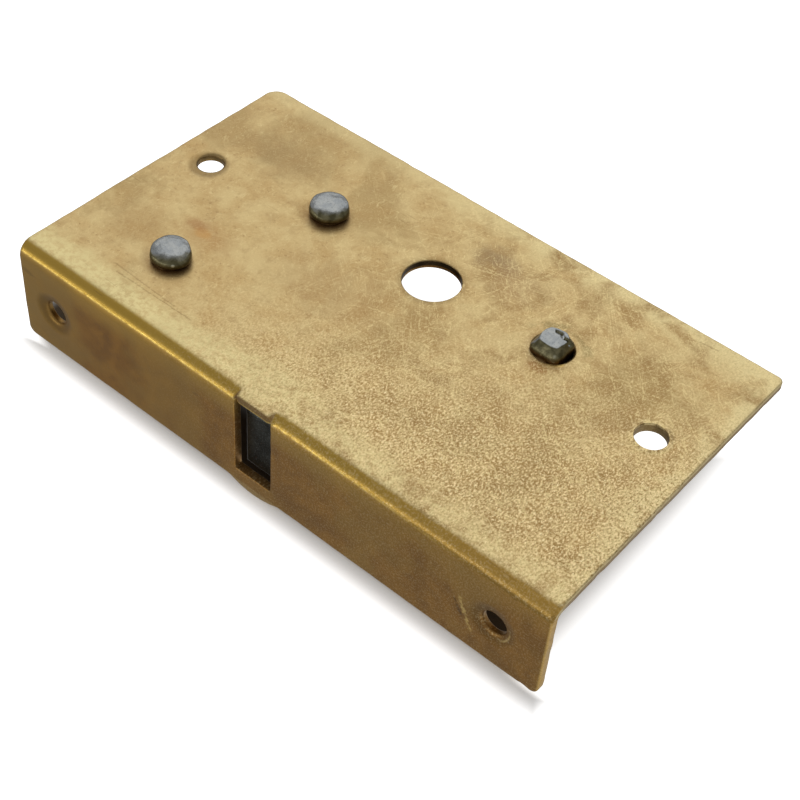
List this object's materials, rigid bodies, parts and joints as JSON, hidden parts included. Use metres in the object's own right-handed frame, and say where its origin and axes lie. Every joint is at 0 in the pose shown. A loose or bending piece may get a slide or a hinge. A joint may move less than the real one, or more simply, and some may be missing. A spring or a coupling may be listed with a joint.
{
  "type": "half-mortise lever lock",
  "caption": "Half-mortise lever lock on an L-bent brass plate, with steel posts, a sliding bolt, sprung levers and a keyhole cap.",
  "frame": {"origin": "the key axis at the outer face of the plate", "axes": "+X along the flange, +Y from the flange to the plate's rear edge (the bolt shoots towards -Y), +Z out of the plate's outer face"},
  "size_m": [0.1016, 0.0571, 0.0216],
  "materials": {
    "plate_brass": "aged satin sheet, worn bright along the bend",
    "cap_brass": "aged satin sheet",
    "lever_brass": "stamped sheet with rubbed edges",
    "bolt_steel": "dark ground steel",
    "rivet_steel": "filed flush",
    "post_steel": "hammered, dark brown at the foot",
    "spacer_steel": "turned",
    "screw_steel": "turned, slotted",
    "spring_steel": "blued"
  },
  "bodies": {
    "lock_body": {"lock_plate": "plate_brass", "round_post": "post_steel", "square_post": "post_steel", "lever_pivot": "post_steel", "pivot_collar": "spacer_steel", "lever_washers": "spacer_steel", "lever_retainer": "spacer_steel", "round_post_spacer": "spacer_steel", "square_post_spacer": "spacer_steel", "cap_plate": "cap_brass", "cap_screws": "screw_steel"},
    "bolt": {"bolt_plate": "bolt_steel", "bolt_head": "bolt_steel", "bolt_rivets": "rivet_steel", "bolt_stump": "bolt_steel"},
    "lever_1": {"lever_1": "lever_brass", "lever_spring_1": "spring_steel"},
    "lever_2": {"lever_2": "lever_brass", "lever_spring_2": "spring_steel"},
    "lever_3": {"lever_3": "lever_brass", "lever_spring_3": "spring_steel"}
  },
  "joints": [
    {"name": "bolt_throw", "type": "slide", "parent": "lock_body", "child": "bolt", "axis": [0, -1, 0], "range_m": [0, 0.009]},
    {"name": "lever_1_lift", "type": "hinge", "parent": "lock_body", "child": "lever_1", "pos_m": [-0.0318, -0.0241, -0.008], "axis": [0, 0, 1], "range_deg": [-4, 0], "stiffness_Nm_per_rad": 0.05, "springref_deg": -14.32, "deforming": ["lever_spring_1"]},
    {"name": "lever_2_lift", "type": "hinge", "parent": "lock_body", "child": "lever_2", "pos_m": [-0.0318, -0.0241, -0.008], "axis": [0, 0, 1], "range_deg": [-4, 0], "stiffness_Nm_per_rad": 0.05, "springref_deg": -14.32, "deforming": ["lever_spring_2"]},
    {"name": "lever_3_lift", "type": "hinge", "parent": "lock_body", "child": "lever_3", "pos_m": [-0.0318, -0.0241, -0.008], "axis": [0, 0, 1], "range_deg": [-4, 0], "stiffness_Nm_per_rad": 0.05, "springref_deg": -14.32, "deforming": ["lever_spring_3"]}
  ]
}
